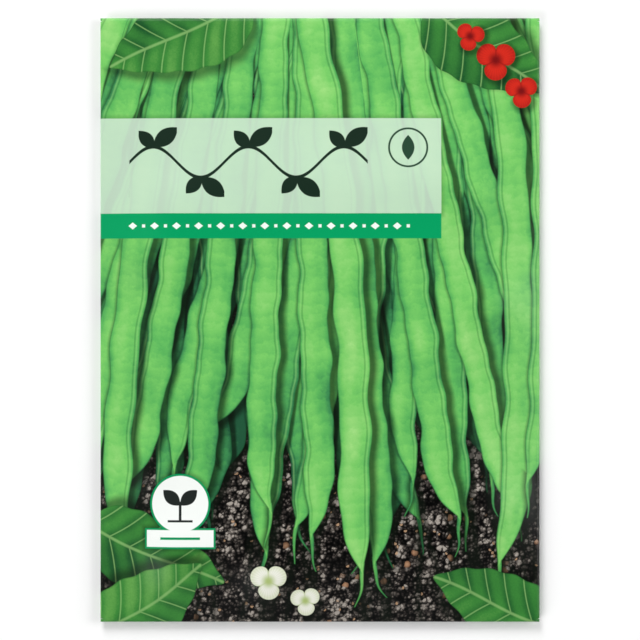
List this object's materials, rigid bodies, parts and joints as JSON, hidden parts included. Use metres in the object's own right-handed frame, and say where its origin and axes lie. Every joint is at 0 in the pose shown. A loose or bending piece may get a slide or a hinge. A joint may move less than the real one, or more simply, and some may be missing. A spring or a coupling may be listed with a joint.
{
  "type": "seed packet",
  "caption": "Flat paper seed packet, folded from one printed sheet and glued at the back seam, holding loose dry climbing bean seeds.",
  "frame": {"origin": "on the table, under the middle of the packet's outline", "axes": "+X to the right across the packet's front, +Y up the front's print, +Z out of the printed front; the packet lies on its back"},
  "size_m": [0.12, 0.165, 0.0087],
  "materials": {
    "printed_paper": "coated paper, printed all over on the outside in greens and dark soil browns, plain white inside",
    "bean_skin": "smooth, slightly glossy cream-white dry bean skin"
  },
  "bodies": {
    "root": {"envelope": "printed_paper", "seed_01": "bean_skin", "seed_02": "bean_skin", "seed_03": "bean_skin", "seed_04": "bean_skin", "seed_05": "bean_skin", "seed_06": "bean_skin", "seed_07": "bean_skin", "seed_08": "bean_skin", "seed_09": "bean_skin", "seed_10": "bean_skin", "seed_11": "bean_skin", "seed_12": "bean_skin", "seed_13": "bean_skin", "seed_14": "bean_skin", "seed_15": "bean_skin", "seed_16": "bean_skin", "seed_17": "bean_skin", "seed_18": "bean_skin", "seed_19": "bean_skin", "seed_20": "bean_skin", "seed_21": "bean_skin", "seed_22": "bean_skin", "seed_23": "bean_skin", "seed_24": "bean_skin", "seed_25": "bean_skin", "seed_26": "bean_skin", "seed_27": "bean_skin", "seed_28": "bean_skin", "seed_29": "bean_skin", "seed_30": "bean_skin", "seed_31": "bean_skin", "seed_32": "bean_skin", "seed_33": "bean_skin", "seed_34": "bean_skin", "seed_35": "bean_skin", "seed_36": "bean_skin", "seed_37": "bean_skin", "seed_38": "bean_skin", "seed_39": "bean_skin", "seed_40": "bean_skin", "seed_41": "bean_skin", "seed_42": "bean_skin", "seed_43": "bean_skin", "seed_44": "bean_skin", "seed_45": "bean_skin", "seed_46": "bean_skin", "seed_47": "bean_skin", "seed_48": "bean_skin"}
  },
  "joints": []
}
